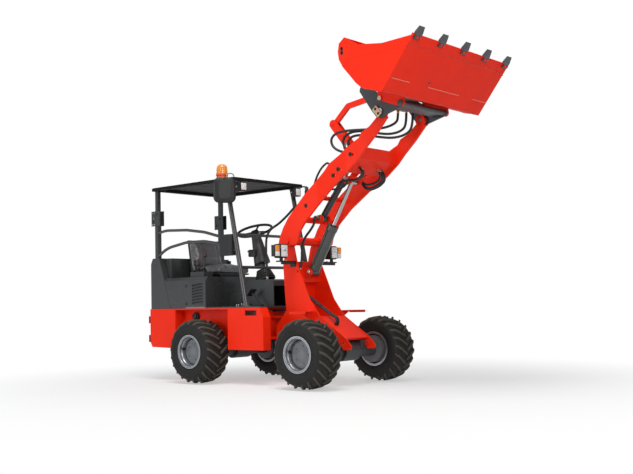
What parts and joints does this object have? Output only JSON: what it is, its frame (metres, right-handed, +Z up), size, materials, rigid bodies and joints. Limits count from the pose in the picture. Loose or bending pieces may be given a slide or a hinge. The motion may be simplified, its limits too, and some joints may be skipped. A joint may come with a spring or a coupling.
{
  "type": "compact articulated wheel loader",
  "caption": "Compact articulated wheel loader with an open canopy, wide flotation tyres and a toothed bucket held up on a two-arm boom.",
  "frame": {"origin": "centre of the overall box, on the ground under the wheels", "axes": "+X forward towards the bucket, +Y to the operator's left, +Z up"},
  "size_m": [3.789, 1.52, 3.074],
  "materials": {
    "red_paint": "semi-gloss paint",
    "dark_paint": "satin paint",
    "black_paint": "satin paint",
    "blue_grey_paint": "satin paint",
    "rubber": "matt hose cover",
    "tyre": "matt",
    "silver_paint": "satin paint",
    "steel": "machined",
    "chrome": "polished",
    "cast": "as cast",
    "black_plastic": "matt",
    "vinyl": "embossed vinyl",
    "amber": "clear amber"
  },
  "bodies": {
    "rear_frame": {"rear_chassis": "red_paint", "side_boxes": "red_paint", "counterweight": "red_paint", "tow_pin": "steel", "bumpers": "black_plastic", "engine_block": "cast", "rear_axle": "blue_grey_paint", "rear_hood": "dark_paint", "engine_cover": "dark_paint", "seat_back_box": "dark_paint", "floor_plate": "dark_paint", "front_console": "black_paint", "pedals": "steel", "steering_column": "black_paint", "steering_wheel": "black_plastic", "seat_base": "black_paint", "seat_cushion": "vinyl", "seat_backrest": "vinyl", "joystick_console": "black_plastic", "rear_posts": "dark_paint", "front_posts": "dark_paint", "canopy_roof": "dark_paint", "guard_rails": "dark_paint", "document_box": "black_plastic", "mirrors": "black_plastic", "beacon": "amber", "work_lights": "black_plastic", "articulation_pin": "steel", "steering_hoses": "rubber"},
    "front_frame": {"front_chassis": "red_paint", "boom_pin": "steel", "front_fenders": "red_paint", "front_axle": "blue_grey_paint", "headlights": "black_plastic", "tower_hoses": "rubber", "lift_hoses": "rubber"},
    "boom": {"boom": "red_paint", "linkage_pins": "steel", "boom_hoses": "rubber", "coupler_hoses": "rubber"},
    "bucket": {"hitch_frame": "dark_paint", "hitch_pins": "steel", "bucket": "red_paint", "bucket_teeth": "red_paint"},
    "lever": {"lever": "red_paint"},
    "link": {"link": "red_paint"},
    "lift_barrel": {"lift_barrel": "dark_paint"},
    "lift_rod": {"lift_rod": "chrome"},
    "tilt_barrel": {"tilt_barrel": "black_paint"},
    "tilt_rod": {"tilt_rod": "chrome"},
    "front_left_wheel": {"front_left_tyre": "tyre", "front_left_rim": "silver_paint"},
    "front_right_wheel": {"front_right_tyre": "tyre", "front_right_rim": "silver_paint"},
    "rear_left_wheel": {"rear_left_tyre": "tyre", "rear_left_rim": "silver_paint"},
    "rear_right_wheel": {"rear_right_tyre": "tyre", "rear_right_rim": "silver_paint"}
  },
  "joints": [
    {"name": "articulation", "type": "hinge", "parent": "rear_frame", "child": "front_frame", "pos_m": [-0.306, 0, 0.5], "axis": [0, 0, 1], "range_deg": [-40, 40], "deforming": ["steering_hoses"]},
    {"name": "boom_lift", "type": "hinge", "parent": "front_frame", "child": "boom", "pos_m": [-0.081, 0, 1.392], "axis": [0, -1, 0], "range_deg": [-86, 0], "deforming": ["lift_hoses"]},
    {"name": "bucket_tilt", "type": "hinge", "parent": "boom", "child": "bucket", "pos_m": [1.152, 0, 2.475], "axis": [0, 1, 0], "range_deg": [-45, 95], "deforming": ["coupler_hoses"]},
    {"name": "lever_swing", "type": "hinge", "parent": "boom", "child": "lever", "pos_m": [0.528, 0, 2.28], "axis": [0, 1, 0], "range_deg": [-46, 96]},
    {"name": "link_swing", "type": "hinge", "parent": "lever", "child": "link", "pos_m": [0.343, 0, 2.511], "axis": [0, 1, 0], "range_deg": [-96, 46]},
    {"name": "lift_barrel_swing", "type": "hinge", "parent": "front_frame", "child": "lift_barrel", "pos_m": [0.029, 0, 1.089], "axis": [0, -1, 0], "range_deg": [-90.25, 1]},
    {"name": "lift_rod_slide", "type": "slide", "parent": "lift_barrel", "child": "lift_rod", "axis": [0.5172, 0, 0.8559], "range_m": [-0.4397, 0.002]},
    {"name": "tilt_barrel_swing", "type": "hinge", "parent": "boom", "child": "tilt_barrel", "pos_m": [0.161, 0, 1.609], "axis": [0, -1, 0], "range_deg": [-2, 2]},
    {"name": "tilt_rod_slide", "type": "slide", "parent": "tilt_barrel", "child": "tilt_rod", "axis": [0.6153, 0, 0.7883], "range_m": [-0.192, 0.092]},
    {"name": "front_left_wheel_spin", "type": "hinge", "parent": "front_frame", "child": "front_left_wheel", "pos_m": [0.424, 0.56, 0.3225], "axis": [0, 1, 0], "continuous": true},
    {"name": "front_right_wheel_spin", "type": "hinge", "parent": "front_frame", "child": "front_right_wheel", "pos_m": [0.424, -0.56, 0.3225], "axis": [0, 1, 0], "continuous": true},
    {"name": "rear_left_wheel_spin", "type": "hinge", "parent": "rear_frame", "child": "rear_left_wheel", "pos_m": [-1.036, 0.56, 0.3225], "axis": [0, 1, 0], "continuous": true},
    {"name": "rear_right_wheel_spin", "type": "hinge", "parent": "rear_frame", "child": "rear_right_wheel", "pos_m": [-1.036, -0.56, 0.3225], "axis": [0, 1, 0], "continuous": true}
  ],
  "couplings": [
    {"joint": "lever_swing", "follows": "bucket_tilt", "ratio": 1},
    {"joint": "link_swing", "follows": "bucket_tilt", "ratio": -1},
    {"joint": "lift_barrel_swing", "follows": "boom_lift", "ratio": 1.0378},
    {"joint": "lift_rod_slide", "follows": "boom_lift", "m_per_rad": 0.2916},
    {"joint": "tilt_barrel_swing", "follows": "bucket_tilt", "ratio": -0.01},
    {"joint": "tilt_rod_slide", "follows": "bucket_tilt", "m_per_rad": -0.1146}
  ]
}
